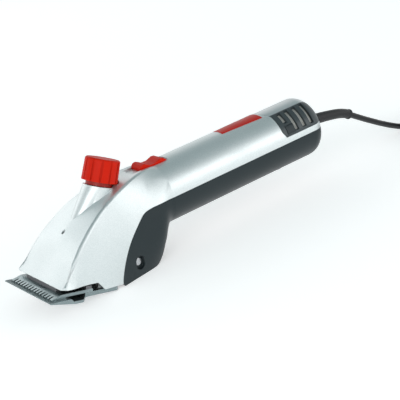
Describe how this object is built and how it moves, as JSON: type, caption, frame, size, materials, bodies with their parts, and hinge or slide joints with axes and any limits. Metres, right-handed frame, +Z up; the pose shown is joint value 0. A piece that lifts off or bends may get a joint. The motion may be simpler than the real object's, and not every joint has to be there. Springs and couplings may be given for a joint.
{
  "type": "animal hair clipper",
  "caption": "Corded large-animal hair clipper with wide toothed comb and cutter, tension knob, slide switch, lift-off vent cover, geared motor and flexible lead.",
  "frame": {"origin": "on the surface that the belly rests on, under the middle of the clipper from comb tips to handle end, cord left out", "axes": "+X along the handle from the comb to the cord, +Z up through the top of the handle, +Y to the left when the clipper is seen from behind"},
  "size_m": [0.4984, 0.1376, 0.1028],
  "materials": {
    "silver_housing": "metallic silver lacquer, satin gloss, fine mould texture",
    "dark_housing": "satin moulded glass-filled nylon",
    "label": "plain red film label, no lettering",
    "red_knob": "moulded red plastic, semi-gloss",
    "knob_collar": "darker red plastic in the knob's shade",
    "switch_red": "moulded red plastic, semi-gloss",
    "blade_steel": "ground and hardened tool steel",
    "screw_steel": "bright machine-screw steel",
    "shaft_steel": "ground steel",
    "cast_head": "die-cast aluminium, as cast",
    "fork_casting": "forged and machined steel",
    "gear_resin": "cut fabric-laminate gear",
    "spring_wire": "drawn spring wire",
    "bearing_steel": "ground bearing rings",
    "lamination": "stacked electrical-steel sheets",
    "winding_copper": "enamelled copper wire",
    "commutator_copper": "turned copper bars",
    "brass_fitting": "stamped brass",
    "carbon": "pressed carbon",
    "inner_plastic": "moulded plastic inside the housing",
    "circuit_board": "coated glass-fibre board",
    "capacitor_case": "potted film capacitor",
    "filter_foam": "open-cell foam",
    "rubber_black": "soft moulded rubber",
    "cord_black": "black cord sheath",
    "plug_black": "moulded plug",
    "tie_fabric": "woven hook-and-loop strap",
    "plug_nickel": "nickel-plated brass pins"
  },
  "bodies": {
    "clipper_body": {"upper_housing": "silver_housing", "lower_housing": "dark_housing", "label_plate": "label", "comb": "blade_steel", "comb_screws": "screw_steel", "centre_post": "shaft_steel", "head_casting": "cast_head", "tension_spring": "spring_wire", "tension_bolt": "shaft_steel", "gear_bulkhead": "cast_head", "motor_bulkhead": "inner_plastic", "spindle_bearings": "bearing_steel", "motor_bearings": "bearing_steel", "field_core": "lamination", "field_coils": "winding_copper", "brush_holders": "brass_fitting", "carbon_brushes": "carbon", "brush_springs": "spring_wire", "rear_bracket": "inner_plastic", "switch_body": "inner_plastic", "component_tray": "inner_plastic", "circuit_board": "circuit_board", "capacitor": "capacitor_case", "suppressor_choke": "winding_copper", "supply_leads": "rubber_black", "housing_screws": "screw_steel", "strain_relief": "rubber_black", "mains_cord": "cord_black", "cord_coil": "cord_black", "cord_tail": "cord_black", "cord_tie": "tie_fabric", "plug_body": "plug_black", "plug_pins": "plug_nickel"},
    "cutter_drive": {"fork": "fork_casting", "fork_pins": "shaft_steel", "cutter": "blade_steel"},
    "tension_knob": {"tension_knob": "red_knob", "knob_collar": "knob_collar", "knob_spindle": "shaft_steel"},
    "tension_nut": {"tension_sleeve": "shaft_steel"},
    "rotor": {"motor_shaft": "shaft_steel", "motor_pinion": "shaft_steel", "armature_core": "lamination", "armature_winding": "winding_copper", "commutator": "commutator_copper", "cooling_fan": "inner_plastic"},
    "crank": {"crank_spindle": "shaft_steel", "drive_gear": "gear_resin"},
    "roller": {"crank_roller": "bearing_steel"},
    "switch": {"switch_slide": "switch_red", "switch_link": "inner_plastic"},
    "rear_cover": {"vent_cover": "silver_housing", "cover_latches": "silver_housing", "air_filter": "filter_foam"}
  },
  "joints": [
    {"name": "cutter_swing", "type": "hinge", "parent": "clipper_body", "child": "cutter_drive", "pos_m": [-0.09963, 0, 0.00713], "axis": [0.2419, 0, 0.9703], "range_deg": [-3.3, 3.3]},
    {"name": "tension_turn", "type": "hinge", "parent": "clipper_body", "child": "tension_knob", "pos_m": [-0.06665, 0, 0.077], "axis": [0.454, 0, 0.891], "range_deg": [0, 540]},
    {"name": "tension_travel", "type": "slide", "parent": "clipper_body", "child": "tension_nut", "axis": [-0.454, 0, -0.891], "range_m": [0, 0.00225], "deforming": ["tension_spring"]},
    {"name": "rotor_spin", "type": "hinge", "parent": "clipper_body", "child": "rotor", "pos_m": [-0.00125, 0, 0.05], "axis": [1, 0, 0], "continuous": true},
    {"name": "crank_spin", "type": "hinge", "parent": "clipper_body", "child": "crank", "pos_m": [-0.06125, 0, 0.0332], "axis": [1, 0, 0], "continuous": true},
    {"name": "roller_spin", "type": "hinge", "parent": "crank", "child": "roller", "pos_m": [-0.06225, 0, 0.035], "axis": [1, 0, 0], "continuous": true},
    {"name": "switch_travel", "type": "slide", "parent": "clipper_body", "child": "switch", "axis": [-1, 0, 0], "range_m": [0, 0.006]},
    {"name": "cover_lift", "type": "slide", "parent": "clipper_body", "child": "rear_cover", "axis": [0, 0, 1], "range_m": [0, 0.03]}
  ],
  "couplings": [
    {"joint": "tension_turn", "follows": "tension_travel", "rad_per_m": 4188.8},
    {"joint": "crank_spin", "follows": "rotor_spin", "ratio": -0.33333}
  ]
}
